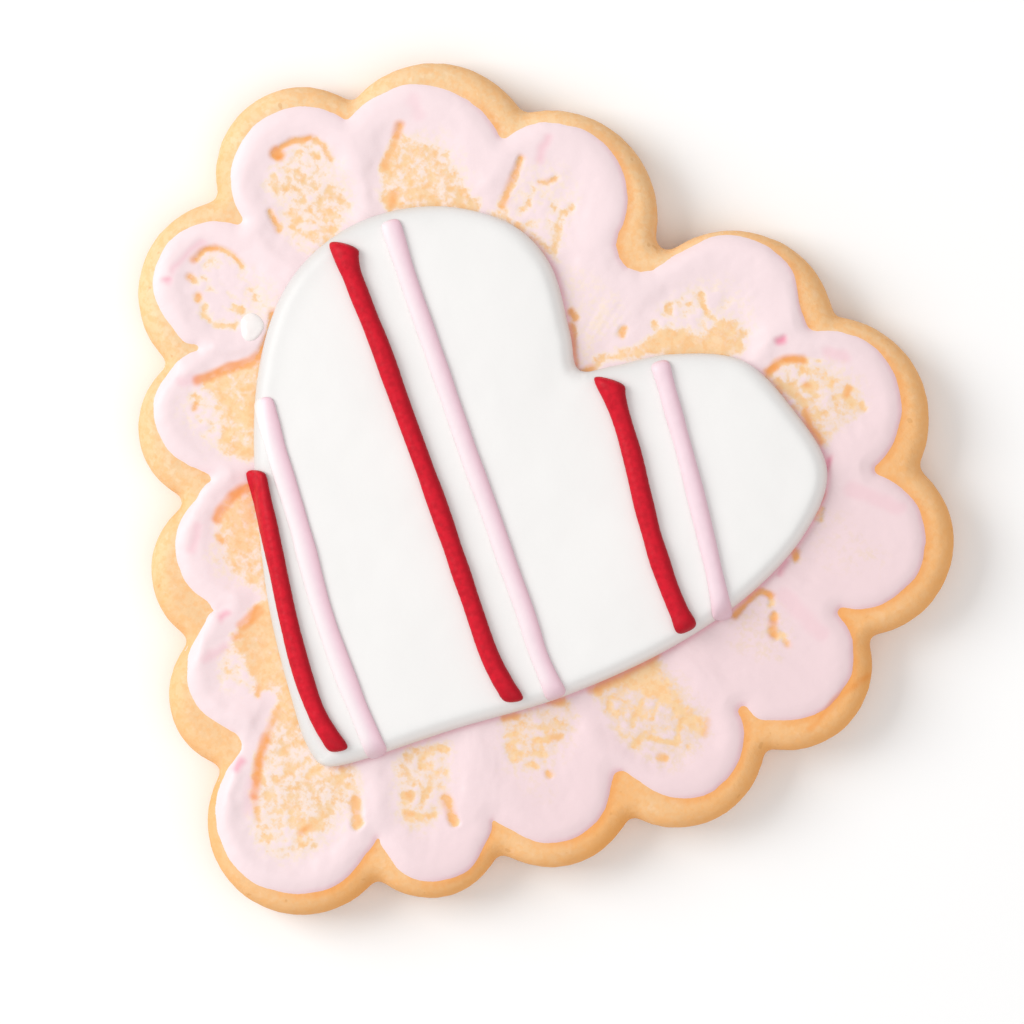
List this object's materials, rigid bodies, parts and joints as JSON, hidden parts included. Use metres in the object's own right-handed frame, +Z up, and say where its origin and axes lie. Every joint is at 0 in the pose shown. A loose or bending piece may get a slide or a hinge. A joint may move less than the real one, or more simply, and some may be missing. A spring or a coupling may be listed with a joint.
{
  "type": "iced sugar cookie",
  "caption": "Scalloped heart sugar cookie with brushed pink icing, a raised white icing heart and slanting piped lines in red and pale pink.",
  "frame": {"origin": "middle of the cookie's bounding box, on the surface that the underside rests on", "axes": "+Z up out of the iced face, +Y from the heart's point towards its lobes, +X to the right seen from above"},
  "size_m": [0.0948, 0.094, 0.011],
  "materials": {
    "biscuit": "baked, dry and matt",
    "pink_icing": "dried sugar icing with a soft sheen",
    "white_icing": "dried sugar icing with a soft sheen",
    "red_icing": "dried sugar icing, satin",
    "pale_pink_icing": "dried sugar icing, satin"
  },
  "bodies": {
    "root": {"biscuit": "biscuit", "pink_icing": "pink_icing", "white_heart": "white_icing", "red_line_1": "red_icing", "red_line_2": "red_icing", "red_line_3": "red_icing", "pink_line_1": "pale_pink_icing", "pink_line_2": "pale_pink_icing", "pink_line_3": "pale_pink_icing"}
  },
  "joints": []
}
